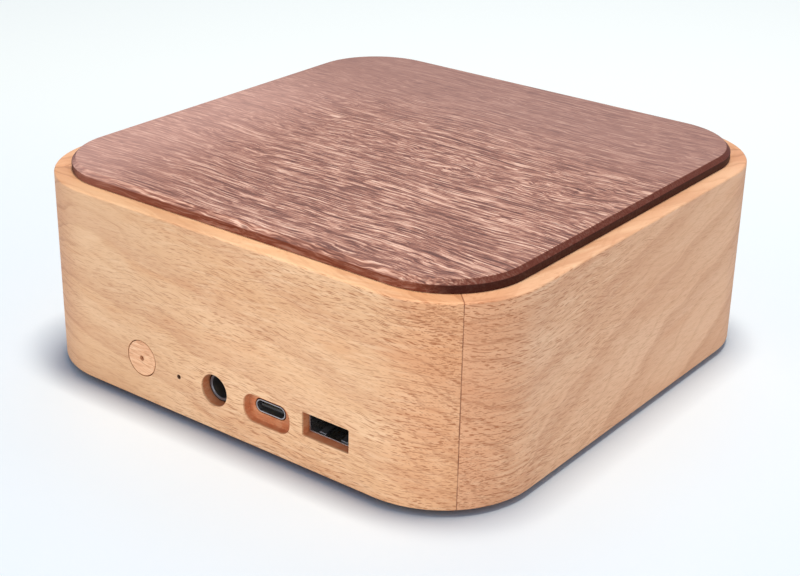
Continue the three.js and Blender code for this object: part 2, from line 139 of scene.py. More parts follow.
def lathe(name, profile, place, axis="Z", n=64):
    """Turned piece: profile [(r, h)] in mm from axis to axis, around the line through place."""
    bm = bmesh.new()
    px, py, pz = place

    def at(r, h, a):
        c, s = r * math.cos(a), r * math.sin(a)
        return Vector((px + c, py + s, pz + h)) if axis == "Z" else Vector((px + c, py + h, pz + s))

    rows = []
    for r, h in profile:
        if r < 1e-6:
            rows.append([bm.verts.new(at(0, h, 0) * MM)])
        else:
            rows.append([bm.verts.new(at(r, h, 2 * math.pi * k / n) * MM) for k in range(n)])
    for a, b in zip(rows, rows[1:]):
        for k in range(n):
            l = (k + 1) % n
            if len(a) == 1 and len(b) == 1:
                continue
            if len(a) == 1:
                bm.faces.new((a[0], b[l], b[k]))
            elif len(b) == 1:
                bm.faces.new((a[k], a[l], b[0]))
            else:
                bm.faces.new((a[k], a[l], b[l], b[k]))
    if len(rows[0]) > 1:  # closed ring profile
        for k in range(n):
            l = (k + 1) % n
            bm.faces.new((rows[-1][k], rows[-1][l], rows[0][l], rows[0][k]))
    return from_bm(name, bm)


def bake_modifiers(o):
    dg = bpy.context.evaluated_depsgraph_get()
    me = bpy.data.meshes.new_from_object(o.evaluated_get(dg), preserve_all_data_layers=True, depsgraph=dg)
    old = o.data
    o.modifiers.clear()
    o.data = me
    me.name = o.name
    bpy.data.meshes.remove(old)


def boolean(o, cutters, op="DIFFERENCE"):
    for c in cutters:
        m = o.modifiers.new("cut", "BOOLEAN")
        m.operation = op
        m.solver = "EXACT"
        m.object = c
        bake_modifiers(o)
    for c in cutters:
        me = c.data
        bpy.data.objects.remove(c)
        bpy.data.meshes.remove(me)
    return o


def bevel(o, width, segments=2, angle=40, clamp=True):
    m = o.modifiers.new("edge", "BEVEL")
    m.width = width * MM
    m.segments = segments
    m.limit_method = "ANGLE"
    m.angle_limit = math.radians(angle)
    m.use_clamp_overlap = clamp
    m.miter_outer = "MITER_ARC"
    bake_modifiers(o)
    return o


def bevel_weight(o, width, weight_of, segments=3):
    """Round edges by a weight between 0 and 1 given from the edge's two ends, in mm."""
    me = o.data
    attr = me.attributes.get("bevel_weight_edge") or me.attributes.new("bevel_weight_edge", "FLOAT", "EDGE")
    bm = bmesh.new()
    bm.from_mesh(me)
    sharp = [len(e.link_faces) == 2 and e.calc_face_angle(0.0) > math.radians(40) for e in bm.edges]
    bm.free()
    for e in me.edges:
        a, b = (me.vertices[i].co / MM for i in e.vertices)
        attr.data[e.index].value = weight_of(a, b) if sharp[e.index] else 0.0
    m = o.modifiers.new("edge", "BEVEL")
    m.width = width * MM
    m.segments = segments
    m.limit_method = "WEIGHT"
    m.use_clamp_overlap = False
    bake_modifiers(o)
    return o


def smooth(o, angle=38, weighted=True):
    o.data.shade_smooth()
    o.data.set_sharp_from_angle(angle=math.radians(angle))
    if weighted:
        m = o.modifiers.new("normals", "WEIGHTED_NORMAL")
        m.keep_sharp = True
        m.weight = 60
    return o


def place(o, material, body="case", slot=None, replaces=()):
    o.data.materials.clear()
    o.data.materials.append(material)
    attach(o, body)
    if replaces:
        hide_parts(*replaces)
    return o


# ---------------------------------------------------------------- node helpers
def lin(r, g, b):
    f = lambda c: (c / 255 / 12.92) if c / 255 <= 0.04045 else ((c / 255 + 0.055) / 1.055) ** 2.4
    return (f(r), f(g), f(b), 1.0)


class Tree:
    def __init__(self, name):
        self.m = bpy.data.materials.new(name)
        self.m.use_nodes = True
        self.t = self.m.node_tree
        self.t.nodes.clear()
        self.out = self.t.nodes.new("ShaderNodeOutputMaterial")
        self.b = self.t.nodes.new("ShaderNodeBsdfPrincipled")
        self.t.links.new(self.b.outputs[0], self.out.inputs[0])
        self.co = self.t.nodes.new("ShaderNodeTexCoord").outputs["Object"]

    def put(self, socket, v):
        if isinstance(v, bpy.types.NodeSocket):
            self.t.links.new(v, socket)
        elif v is not None:
            socket.default_value = v

    def set(self, **kw):
        names = {"color": "Base Color", "rough": "Roughness", "metal": "Metallic", "spec": "Specular IOR Level",
                 "normal": "Normal", "coat": "Coat Weight", "coat_rough": "Coat Roughness", "sheen": "Sheen Weight",
                 "sheen_rough": "Sheen Roughness", "trans": "Transmission Weight", "ior": "IOR", "aniso": "Anisotropic",
                 "sss": "Subsurface Weight", "sss_scale": "Subsurface Scale", "alpha": "Alpha"}
        for k, v in kw.items():
            self.put(self.b.inputs[names[k]], v)

    def math(self, op, a, b=None, c=None, clamp=False):
        n = self.t.nodes.new("ShaderNodeMath")
        n.operation = op
        n.use_clamp = clamp
        for s, v in zip(n.inputs, (a, b, c)):
            self.put(s, v)
        return n.outputs[0]

    def add(self, a, b): return self.math("ADD", a, b)
    def sub(self, a, b): return self.math("SUBTRACT", a, b)
    def mul(self, a, b): return self.math("MULTIPLY", a, b)

    def vec(self, op, a, b=None, scale=None):
        n = self.t.nodes.new("ShaderNodeVectorMath")
        n.operation = op
        self.put(n.inputs[0], a)
        if b is not None:
            self.put(n.inputs[1], b)
        if scale is not None:
            self.put(n.inputs[3], scale)
        return n.outputs[1] if op in ("LENGTH", "DOT_PRODUCT", "DISTANCE") else n.outputs[0]

    def xyz(self, v):
        n = self.t.nodes.new("ShaderNodeSeparateXYZ")
        self.put(n.inputs[0], v)
        return n.outputs

    def join(self, x, y, z):
        n = self.t.nodes.new("ShaderNodeCombineXYZ")
        for s, v in zip(n.inputs, (x, y, z)):
            self.put(s, v)
        return n.outputs[0]

    def noise(self, v, scale=1.0, detail=2.0, rough=0.5, distortion=0.0, colour=False, kind="FBM"):
        n = self.t.nodes.new("ShaderNodeTexNoise")
        n.noise_dimensions = "3D"
        self.put(n.inputs["Vector"], v)
        n.inputs["Scale"].default_value = scale
        n.inputs["Detail"].default_value = detail
        n.inputs["Roughness"].default_value = rough
        n.inputs["Distortion"].default_value = distortion
        return n.outputs["Color" if colour else "Fac"]

    def voronoi(self, v, scale=1.0, feature="F1", randomness=1.0, dims="3D"):
        n = self.t.nodes.new("ShaderNodeTexVoronoi")
        n.voronoi_dimensions = dims
        n.feature = feature
        self.put(n.inputs["Vector"], v)
        n.inputs["Scale"].default_value = scale
        n.inputs["Randomness"].default_value = randomness
        return n.outputs

    def remap(self, v, a, b, c=0.0, d=1.0, smooth=True):
        n = self.t.nodes.new("ShaderNodeMapRange")
        n.interpolation_type = "SMOOTHSTEP" if smooth else "LINEAR"
        self.put(n.inputs["Value"], v)
        for s, x in zip(("From Min", "From Max", "To Min", "To Max"), (a, b, c, d)):
            self.put(n.inputs[s], x)
        return n.outputs[0]

    def mix(self, f, a, b, blend="MIX"):
        n = self.t.nodes.new("ShaderNodeMix")
        n.data_type = "RGBA"
        n.blend_type = blend
        n.clamp_factor = True
        self.put(n.inputs[0], f)
        self.put(n.inputs[6], a)
        self.put(n.inputs[7], b)
        return n.outputs[2]

    def ramp(self, f, stops):
        n = self.t.nodes.new("ShaderNodeValToRGB")
        e = n.color_ramp.elements
        e[0].position, e[0].color = stops[0]
        e[1].position, e[1].color = stops[-1]
        for p, c in stops[1:-1]:
            x = e.new(p)
            x.color = c
        self.put(n.inputs[0], f)
        return n.outputs[0]

    def bump(self, height, distance, strength=1.0, normal=None):
        n = self.t.nodes.new("ShaderNodeBump")
        n.inputs["Strength"].default_value = strength
        n.inputs["Distance"].default_value = distance
        self.put(n.inputs["Height"], height)
        if normal is not None:
            self.put(n.inputs["Normal"], normal)
        return n.outputs[0]


# ---------------------------------------------------------------- wood
def beech(name, along, seed, pith, taper, warmth=0.0, fleck=1.0, seam=True, tone=1.0, corner_warm=True, fade=(0.0, 0.0), rings=1.0, shade=None):
    """Oiled flat-sawn beech, the grain along X or Y. pith is (height, depth) of the heart in mm.
    fade is where along the board the flecks are (strong, faint)."""
    t = Tree(name)
    p = t.vec("SCALE", t.co, scale=1000.0)
    x, y, z = t.xyz(p)
    u, w = (x, y) if along == "X" else (y, x)
    v = z
    su = t.add(u, seed * 137.0)
    # sheared copies, so that neighbouring fibres never line up in columns
    sh1 = t.add(su, t.add(t.mul(v, 3.3), t.mul(w, 2.7)))
    sh2 = t.sub(su, t.add(t.mul(v, 4.7), t.mul(w, 3.1)))
    # slow wander of the fibres
    drift = t.noise(t.join(t.mul(su, 0.012), t.mul(v, 0.03), t.mul(w, 0.03)), 1.0, 2.0, 0.5, colour=True)
    dx, dy, dz = t.xyz(drift)
    v1 = t.add(v, t.mul(t.sub(dx, 0.5), 7.0))
    w1 = t.add(w, t.mul(t.sub(dy, 0.5), 10.0))
    # growth rings round the heart, opened into arches by the taper of the trunk
    rv = t.sub(v1, pith[0])
    rw = t.sub(w1, pith[1])
    r = t.math("SQRT", t.add(t.mul(rv, rv), t.mul(rw, rw)))
    r = t.add(r, t.mul(u, taper))
    wob = t.noise(t.join(t.mul(su, 0.03), t.mul(v, 0.05), t.mul(w, 0.05)), 1.0, 3.0, 0.55)
    r = t.add(r, t.mul(t.sub(wob, 0.5), 9.0))
    broad = t.math("FRACT", t.mul(r, 1 / 11.5))
    late = t.mul(t.remap(broad, 0.35, 0.97), t.remap(broad, 1.0, 0.965))
    fine = t.math("FRACT", t.mul(t.add(r, t.mul(wob, 3.0)), 1 / 3.6))
    thin = t.mul(t.remap(fine, 0.70, 0.94), t.remap(fine, 1.0, 0.95))
    # cloudy colour of the board and its fibres
    cloud = t.noise(t.join(t.mul(su, 0.02), t.mul(v, 0.055), t.mul(w, 0.05)), 1.0, 3.0, 0.55, 0.4)
    blot = t.noise(t.join(t.mul(t.add(su, 50), 0.035), t.mul(v, 0.12), t.mul(w, 0.06)), 1.0, 2.0, 0.5, 0.6)
    fibre = t.noise(t.join(t.mul(sh1, 0.09), t.mul(v, 1.9), t.mul(w, 0.3)), 1.0, 3.0, 0.6)
    silk = t.noise(t.join(t.mul(sh2, 0.15), t.mul(v, 1.0), t.mul(w, 0.3)), 1.0, 2.0, 0.5)
    # ray flecks: thin upright sheets that show as short dashes along the board
    bend = t.noise(t.join(t.mul(su, 0.05), t.mul(v, 0.10), 0.0), 1.0, 2.0, 0.5)
    vj = t.add(v, t.mul(t.sub(bend, 0.5), 5.0))

    def dashes(ou, fu, fv, keep, rad, s=sh1):
        c = t.voronoi(t.join(t.mul(t.add(s, ou), fu), t.mul(t.add(vj, ou), fv), 0.0), 1.0, dims="2D")
        return t.mul(t.remap(c["Distance"], rad, rad * 0.45), t.remap(t.xyz(c["Color"])[0], 1.0 - keep, 1.25 - keep))

    d1 = dashes(0.0, 0.18, 2.25, 0.60, 0.30)
    d2 = dashes(41.0, 0.27, 3.00, 0.62, 0.30, sh2)
    d3 = dashes(97.0, 0.44, 3.8, 0.60, 0.32)
    field = t.remap(t.noise(t.join(t.mul(su, 0.022), t.mul(v, 0.05), t.mul(w, 0.03)), 1.0, 2.0, 0.5), 0.3, 0.65, 0.55, 1.0)
    if fade[0] != fade[1]:
        field = t.mul(field, t.remap(u, fade[0], fade[1], 1.0, 0.38))
    nz = t.math("ABSOLUTE", t.xyz(t.t.nodes.new("ShaderNodeNewGeometry").outputs["Normal"])[2])
    side = t.remap(nz, 0.5, 0.9, 1.0, 0.22)
    flecks = t.math("MAXIMUM", d1, t.math("MAXIMUM", t.mul(d2, 0.8), t.mul(d3, 0.55)))
    flecks = t.mul(t.mul(flecks, field), t.mul(side, fleck))

    base = t.ramp(cloud, [(0.30, lin(233, 190, 150)), (0.5, lin(228, 182, 140)), (0.70, lin(219, 169, 126))])
    base = t.mix(t.remap(blot, 0.52, 0.76, 0.0, 0.50), base, lin(216, 158, 113))
    if warmth:
        base = t.mix(warmth, base, lin(216, 162, 132))
    base = t.mix(t.mul(late, 0.30 * rings), base, lin(192, 134, 98))
    base = t.mix(t.mul(thin, 0.16 * rings), base, lin(186, 128, 88))
    base = t.mix(t.mul(t.remap(fibre, 0.35, 0.7, 0.0, 0.22), field), base, lin(180, 124, 84))
    base = t.mix(t.mul(t.remap(silk, 0.45, 0.75, 0.0, 0.35), field), base, lin(248, 214, 176))
    rad = t.math("MINIMUM", t.math("ABSOLUTE", x), t.math("ABSOLUTE", y))
    if corner_warm:
        # the wood takes more oil where the round corner cuts across the fibres
        turn = t.mul(t.remap(rad, 43.0, 58.0), t.remap(z, 2.0, 24.0, 0.55, 1.0))
        base = t.mix(t.mul(turn, 0.48), base, lin(205, 136, 92))
        base = t.mix(t.mul(t.mul(thin, turn), 0.28), base, lin(150, 88, 54))
        flecks = t.math("MINIMUM", t.mul(flecks, t.add(1.0, t.mul(turn, 0.6))), 1.0)
    base = t.mix(t.mul(flecks, 0.82), base, lin(162, 97, 58))
    if seam:
        gap = t.math("ABSOLUTE", t.sub(t.math("ABSOLUTE", x), t.math("ABSOLUTE", y)))
        wave = t.noise(t.join(0.0, 0.0, t.mul(z, 0.16)), 1.0, 2.0)
        line = t.mul(t.remap(gap, 0.30, 0.10), t.remap(wave, 0.36, 0.60, 0.25, 0.85))
        base = t.mix(line, base, lin(140, 84, 54))
    if along == "X" and seam and seed == 1:
        # painted shade: the walls inside the routed recesses and holes are painted darker and more orange, mottled a
        # little
        recess_shade = t.mul(t.mul(t.remap(y, -69.86, -69.3), t.remap(t.math("ABSOLUTE", x), 46.0, 44.0)), t.remap(z, 24.0, 22.0))
        recess_shade_mottle = t.noise(t.join(t.mul(x, 0.5), t.mul(y, 0.2), t.mul(z, 0.5)), 1.0, 2.0)
        base = t.mix(t.mul(recess_shade, t.remap(recess_shade_mottle, 0.3, 0.7, 0.70, 0.95)), base, lin(184, 104, 62))
        # painted shade: the drilled pinhole and a thin ring round it are painted dark
        pin = t.vec("LENGTH", t.join(t.sub(x, PIN["x"]), 0.0, t.sub(z, PIN["z"])))
        base = t.mix(t.mul(t.remap(pin, 0.72, 0.50), 0.88), base, lin(70, 38, 24))
    if tone != 1.0:
        base = t.mix(1.0, base, (tone, tone, tone, 1), "MULTIPLY")
    if shade:
        # one end of the board is a little darker
        k = t.remap(u, shade[0], shade[1], shade[2], 1.0)
        base = t.mix(1.0, base, t.join(k, k, k), "MULTIPLY")
    height = t.add(t.mul(fibre, 0.25), t.mul(flecks, -1.0))
    height = t.add(height, t.mul(t.noise(p, 3.0, 2.0), 0.15))
    t.set(color=base, rough=t.remap(t.add(fibre, t.mul(flecks, 0.6)), 0.2, 1.1, 0.52, 0.74), spec=0.35,
          normal=t.bump(height, 0.00006, 0.8))
    return t.m


def sapele(name):
    """Dark reddish hardwood with interlocked grain along X, sanded and lightly oiled."""
    t = Tree(name)
    p = t.vec("SCALE", t.co, scale=1000.0)
    x, y, z = t.xyz(p)
    wander = t.noise(t.join(t.mul(x, 0.022), t.mul(y, 0.035), t.mul(z, 0.035)), 1.0, 2.0, 0.5)
    ripple = t.noise(t.join(t.mul(x, 0.11), t.mul(y, 0.16), t.mul(z, 0.16)), 1.0, 2.0, 0.5)
    band = t.noise(t.join(t.mul(x, 0.008), t.mul(y, 0.045), t.mul(z, 0.045)), 1.0, 2.0, 0.5)
    curl = t.remap(band, 0.42, 0.60)  # 0 straight lines, 1 short and curly
    yy = t.add(t.add(y, t.mul(t.sub(wander, 0.5), 8.0)), t.mul(t.mul(t.sub(ripple, 0.5), 5.0), t.remap(curl, 0.0, 1.0, 0.12, 1.0, smooth=False)))
    zz = t.add(z, t.mul(t.sub(ripple, 0.5), 2.0))
    xa, xb = t.add(x, t.mul(y, 2.9)), t.sub(x, t.mul(y, 2.3))
    long_ = t.noise(t.join(t.mul(xa, 0.060), t.mul(yy, 1.55), t.mul(zz, 1.55)), 1.0, 2.0, 0.55)
    short = t.noise(t.join(t.mul(xb, 0.26), t.mul(yy, 1.65), t.mul(zz, 1.65)), 1.0, 2.0, 0.55)
    hair = t.noise(t.join(t.mul(xa, 0.15), t.mul(yy, 3.4), t.mul(zz, 3.4)), 1.0, 2.0, 0.6)
    streak = t.add(t.mul(long_, t.remap(curl, 0.0, 1.0, 0.85, 0.25, smooth=False)), t.mul(short, t.remap(curl, 0.0, 1.0, 0.15, 0.75, smooth=False)))
    streak = t.add(t.mul(streak, 0.66), t.mul(hair, 0.34))
    # figure contrast falls off towards the far side, as part of the painted sheen there, and towards the left end
    # (negative x)
    far_sheen = t.remap(y, 4.0, 44.0)
    figure_contrast = t.mul(t.remap(far_sheen, 0.0, 1.0, 1.0, 0.50, smooth=False), t.remap(x, -62.0, 4.0, 0.58, 1.0))
    streak = t.add(0.5, t.mul(t.sub(streak, 0.5), t.mul(figure_contrast, 1.24)))
    vor = t.voronoi(t.join(t.mul(xb, 0.20), t.mul(yy, 1.9), t.mul(zz, 1.9)), 1.0)
    pore = t.mul(t.mul(t.remap(vor["Distance"], 0.42, 0.16), t.remap(t.xyz(vor["Color"])[0], 0.3, 0.7)), figure_contrast)
    vor2 = t.voronoi(t.join(t.mul(t.add(xa, 17), 0.34), t.mul(yy, 3.0), t.mul(zz, 3.0)), 1.0)
    pore2 = t.mul(t.mul(t.remap(vor2["Distance"], 0.40, 0.14), t.remap(t.xyz(vor2["Color"])[1], 0.4, 0.9)), figure_contrast)
    broad = t.noise(t.join(t.mul(x, 0.010), t.mul(y, 0.07), t.mul(z, 0.07)), 1.0, 3.0, 0.55)
    base = t.ramp(streak, [(0.36, lin(84, 46, 37)), (0.44, lin(119, 72, 59)), (0.51, lin(158, 107, 89)), (0.58, lin(202, 156, 136)), (0.66, lin(228, 190, 170))])
    base = t.mix(t.remap(broad, 0.35, 0.7, 0.0, 0.30), base, lin(138, 91, 77))
    base = t.mix(t.mul(pore, 0.60), base, lin(84, 44, 35))
    base = t.mix(t.mul(pore2, 0.42), base, lin(88, 48, 39))
    # painted sheen: the far side of the top is mixed towards a pale grey-lilac, a reflection of the bright surroundings
    # painted in
    base = t.mix(t.mul(far_sheen, 0.34), base, lin(140, 110, 105))
    # painted sheen: the near half is mixed towards a pale grey-pink at the left end (negative x)
    base = t.mix(t.mul(t.remap(x, -22.0, -60.0, 0.0, 0.32), t.sub(1.0, far_sheen)), base, lin(214, 173, 163))
    # painted shade: the upright sides are painted darker and redder than the face, and the end grain at the two ends is
    # its own speckled darker tone deepened by painted shade
    nx, ny, nzz = t.xyz(t.t.nodes.new("ShaderNodeNewGeometry").outputs["Normal"])
    up = t.math("ABSOLUTE", nzz)
    edge = t.remap(up, 0.60, 0.30)
    # painted shade: upright sides darker and redder than the face
    base = t.mix(t.mul(edge, 0.70), base, lin(112, 52, 31))
    speck = t.voronoi(t.join(t.mul(x, 0.3), t.mul(y, 2.2), t.mul(z, 2.2)), 1.0)
    end = t.remap(t.math("ABSOLUTE", nx), 0.22, 0.66)
    end_grain_and_shade = t.mix(t.remap(speck["Distance"], 0.32, 0.12, 0.0, 0.6), lin(92, 46, 36), lin(48, 20, 15))
    # painted shade: upright end faces darker still
    end_grain_and_shade = t.mix(t.mul(edge, 0.9), end_grain_and_shade, lin(42, 13, 9))
    base = t.mix(t.mul(end, 0.92), base, end_grain_and_shade)
    height = t.add(t.mul(streak, 0.6), t.mul(t.add(pore, t.mul(pore2, 0.6)), -0.8))
    t.set(color=base, rough=t.remap(streak, 0.35, 0.7, 0.58, 0.46), spec=t.remap(t.math("MAXIMUM", edge, end), 0.0, 1.0, 0.42, 0.10),
          normal=t.bump(height, 0.00007, 0.5))
    return t.m


# ---------------------------------------------------------------- other materials
def plastic(name, colour, rough=0.5, grain=6.0, depth=0.00002, spec=0.5, tint=0.12):
    t = Tree(name)
    p = t.vec("SCALE", t.co, scale=1000.0)
    g = t.noise(p, grain, 2.0, 0.6)
    broad = t.noise(p, 0.12, 3.0, 0.5)
    dark = tuple(c * 0.72 for c in colour[:3]) + (1,)
    t.set(color=t.mix(t.remap(t.add(t.mul(g, 0.6), t.mul(broad, 0.4)), 0.35, 0.65, 0.0, tint * 4), colour, dark),
          rough=t.remap(broad, 0.3, 0.7, rough - 0.06, rough + 0.06), spec=spec, normal=t.bump(g, depth, 0.8))
    return t.m


def metal(name, colour, rough=0.3, along=(1, 0.05, 1), scale=12.0, tarnish=0.25):
    t = Tree(name)
    p = t.vec("SCALE", t.co, scale=1000.0)
    lines = t.noise(t.vec("MULTIPLY", p, along), scale, 3.0, 0.6)
    spots = t.noise(p, 0.9, 3.0, 0.6)
    dark = tuple(c * 0.6 for c in colour[:3]) + (1,)
    t.set(color=t.mix(t.remap(spots, 0.45, 0.75, 0.0, tarnish), colour, dark), metal=1.0,
          rough=t.remap(lines, 0.3, 0.7, rough - 0.08, rough + 0.1), normal=t.bump(lines, 0.000008, 0.6))
    return t.m


def circuit(name):
    """Green solder mask with copper tracks and pads faintly showing through."""
    t = Tree(name)
    p = t.vec("SCALE", t.co, scale=1000.0)
    cells = t.voronoi(p, 0.16, "F1")
    flow = t.noise(p, 0.10, 2.0, 0.5)
    q = t.add(t.mul(t.xyz(cells["Color"])[0], 9.0), t.mul(t.add(t.xyz(p)[0], t.mul(t.xyz(cells["Color"])[1], t.xyz(p)[1])), 0.55))
    tracks = t.remap(t.math("PINGPONG", t.add(q, flow), 0.5), 0.34, 0.40)
    vias = t.voronoi(p, 0.45, "F1", 0.9)
    hole = t.remap(vias["Distance"], 0.13, 0.10)
    base = t.mix(t.mul(tracks, 0.5), (0.008, 0.075, 0.030, 1), (0.030, 0.170, 0.060, 1))
    base = t.mix(t.mul(hole, 0.85), base, (0.45, 0.40, 0.25, 1))
    t.set(color=base, rough=t.remap(tracks, 0.0, 1.0, 0.38, 0.28), spec=0.5,
          normal=t.bump(t.add(t.mul(tracks, 0.6), hole), 0.00004, 0.8))
    return t.m


M_SAPELE = sapele("mat_top_plate")
M_PORT = beech("mat_beech_port", "X", 1, (96.0, -22.0), -0.16, warmth=0.0, fleck=0.9, fade=(20.0, -66.0), shade=(-34.0, 14.0, 0.88))
M_RIGHT = beech("mat_beech_right", "Y", 2, (-18.0, 22.0), -0.25, warmth=0.40, fleck=0.85, fade=(-40.0, 20.0), rings=1.25)
M_REAR = beech("mat_beech_display", "X", 3, (-30.0, 20.0), 0.18, warmth=0.1, fleck=0.8)
M_LEFT = beech("mat_beech_left", "Y", 4, (90.0, -16.0), 0.2, warmth=0.15, fleck=0.8)
M_CAP = beech("mat_beech_cap", "X", 7, (60.0, -10.0), 0.2, warmth=0.35, fleck=0.6, seam=False, tone=1.08, corner_warm=False)
M_BLACK = plastic("mat_black_plastic", (0.018, 0.018, 0.019, 1), 0.48, 7.0)
M_GLOSS = plastic("mat_gloss_black", (0.010, 0.010, 0.011, 1), 0.25, 9.0, 0.000006)
M_RUBBER = plastic("mat_rubber", (0.016, 0.016, 0.016, 1), 0.82, 4.0, 0.00005, spec=0.3)
M_STEEL = metal("mat_steel", (0.66, 0.66, 0.68, 1), 0.26)
M_DULL = metal("mat_dull_steel", (0.20, 0.20, 0.22, 1), 0.46)
M_TIN = metal("mat_tinned_shell", (0.44, 0.43, 0.45, 1), 0.40)
M_SMOKE = plastic("mat_smoked_plastic", (0.055, 0.034, 0.028, 1), 0.35, 5.0)
M_ZINC = metal("mat_zinc", (0.60, 0.60, 0.59, 1), 0.34, (1, 1, 1), 4.0)
M_BRASS = metal("mat_brass", (0.78, 0.58, 0.28, 1), 0.24)
M_GOLD = metal("mat_gold", (0.80, 0.60, 0.26, 1), 0.30, (0.05, 1, 1), 9.0, 0.15)
M_ALU = metal("mat_aluminium", (0.74, 0.74, 0.75, 1), 0.32, (1, 1, 0.05), 9.0, 0.1)
M_PCB = circuit("mat_circuit")
M_WHITE = plastic("mat_white_plastic", (0.72, 0.71, 0.67, 1), 0.45, 6.0)
M_CHIP = plastic("mat_chip", (0.020, 0.020, 0.022, 1), 0.55, 12.0, 0.00001)


def clear_plastic():
    t = Tree("mat_clear_plastic")
    p = t.vec("SCALE", t.co, scale=1000.0)
    g = t.noise(p, 1.6, 3.0, 0.6)
    t.set(color=t.mix(t.remap(g, 0.4, 0.7, 0.0, 0.6), (0.60, 0.63, 0.64, 1), (0.46, 0.49, 0.50, 1)), rough=t.remap(g, 0.3, 0.7, 0.16, 0.3),
          trans=0.35, ior=1.49, normal=t.bump(g, 0.00002, 0.5))
    return t.m


def ribbon(name, axis=0, pitch=1.0, a=(0.80, 0.80, 0.80, 1), b=(0.42, 0.43, 0.45, 1), rough=0.35):
    """Flat cable: parallel conductors under a film."""
    t = Tree(name)
    p = t.vec("SCALE", t.co, scale=1000.0)
    c = t.math("PINGPONG", t.xyz(p)[axis], pitch / 2)
    line = t.remap(c, pitch * 0.20, pitch * 0.30)
    g = t.noise(p, 2.0, 2.0, 0.5)
    t.set(color=t.mix(t.mul(line, t.remap(g, 0.3, 0.7, 0.7, 1.0)), a, b), rough=t.remap(g, 0.3, 0.7, rough - 0.05, rough + 0.1), normal=t.bump(line, 0.00005, 0.8))
    return t.m


M_CLEAR = clear_plastic()
M_RIBBON = ribbon("mat_ribbon")
M_CABLE = ribbon("mat_cable", 0, 1.2, (0.16, 0.165, 0.17, 1), (0.05, 0.05, 0.055, 1), 0.55)

# ---------------------------------------------------------------- wooden frame
N45 = 40
MITRE = HALF - R_BODY + R_BODY * math.sqrt(0.5)


def board_outline(turns):
    c = HALF - R_BODY
    pts = [(-IN, -IN), (-MITRE, -MITRE)]
    for k in range(1, N45):
        a = math.radians(225 + 45 * k / N45)
        pts.append((-c + R_BODY * math.cos(a), -c + R_BODY * math.sin(a)))
    m = 12
    pts += [(-c + 2 * c * k / m, -HALF) for k in range(m + 1)]
    for k in range(1, N45):
        a = math.radians(270 + 45 * k / N45)
        pts.append((c + R_BODY * math.cos(a), -c + R_BODY * math.sin(a)))
    pts += [(MITRE, -MITRE), (IN, -IN)]
    for _ in range(turns):
        pts = [(-y, x) for x, y in pts]
    return pts


def outer(v):
    """Is a point on the outside of the frame?"""
    ax, ay = abs(v.x), abs(v.y)
    c = HALF - R_BODY
    if ax > c and ay > c:
        return abs(math.hypot(ax - c, ay - c) - R_BODY) < 0.02
    return abs(max(ax, ay) - HALF) < 0.02


def make_board(name, turns, cutters, low):
    o = prism_z(name, board_outline(turns), Z_BODY, Z_TOP)

    def weight(a, b):
        flat = abs(a.z - b.z) < 0.01
        if flat and outer(a) and outer(b):
            return 1.0
        if not flat and outer(a) and abs(abs(a.x) - abs(a.y)) < 0.01:
            return 0.06
        if flat and a.z > Z_TOP - 1 and not (outer(a) or outer(b)):
            return 0.4
        return 0.0

    bevel_weight(o, 0.55, weight, 4)
    rebate = prism_z("cut", rrect(0, 0, 2 * REBATE_HALF, 2 * REBATE_HALF, REBATE_R, 24), Z_BODY - 1, Z_LEDGE)
    boolean(o, [rebate] + cutters)
    def hole_edge(a, b):
        inside = all(abs(q.x) < 45 and q.z < 21 and -70.01 < q.y < -66.9 for q in (a, b))
        return 1.0 if low and inside else 0.0

    bevel_weight(o, 0.12, hole_edge, 2)
    return smooth(o)


def port_cutters():
    p = POCKET
    return [
        box_obj("cut", p[0], Y_WALL, Z_LEDGE, p[1], -IN + 1, p[2]),
        prism_y("cut", circle(BUTTON["x"], BUTTON["z"], BUTTON["hole"] / 2, 72), -HALF - 1, Y_WALL + 1),
        prism_y("cut", circle(PIN["x"], PIN["z"], PIN["d"] / 2, 24), -HALF - 1, Y_WALL + 1),
        prism_y("cut", circle(JACK["x"], JACK["z"], JACK["hole"] / 2, 64), -HALF - 1, Y_WALL + 1),
        prism_y("cut", rrect(USBC["x"], USBC["z"], USBC["w"], USBC["h"], USBC["r"], 14), -HALF - 1, -HALF + 2.0),
        prism_y("cut", rrect(USBC["sx"], USBC["sz"], USBC["hw"], USBC["hh"], USBC["hh"] / 2 - 0.05, 12), -HALF - 1, Y_WALL + 1),
        prism_y("cut", rrect(USBA["x"], USBA["z"], USBA["w"], USBA["h"], 0.3, 4), -HALF - 1, Y_WALL + 1),
    ]


SCREW_X, SCREW_Y = 61.3, 38.0
port = make_board("beech_board_port_side", 0, port_cutters(), True)
place(port, M_PORT, slot="beech", replaces=["frame_board_port_side"])


def pilots(sx):
    return [prism_z("cut", circle(sx * SCREW_X, sy * SCREW_Y, 1.45, 20), Z_LEDGE - 1, Z_LEDGE + 9.5) for sy in (-1, 1)]


right = make_board("beech_board_right", 1, pilots(1), False)
place(right, M_RIGHT, slot="beech", replaces=["frame_board_right"])
rear = make_board("beech_board_display_side", 2, [box_obj("cut", -38.5, IN - 1, 15.0, 38.5, HALF - 1.8, 38.0),
                                                  prism_y("cut", circle(-42.5, 26.5, 1.15, 20), IN - 1, IN + 6),
                                                  prism_y("cut", circle(42.5, 26.5, 1.15, 20), IN - 1, IN + 6)], False)
place(rear, M_REAR, slot="beech", replaces=["frame_board_display_side"])
left = make_board("beech_board_left", 3, pilots(-1), False)
place(left, M_LEFT, slot="beech", replaces=["frame_board_left"])

# ---------------------------------------------------------------- top plate


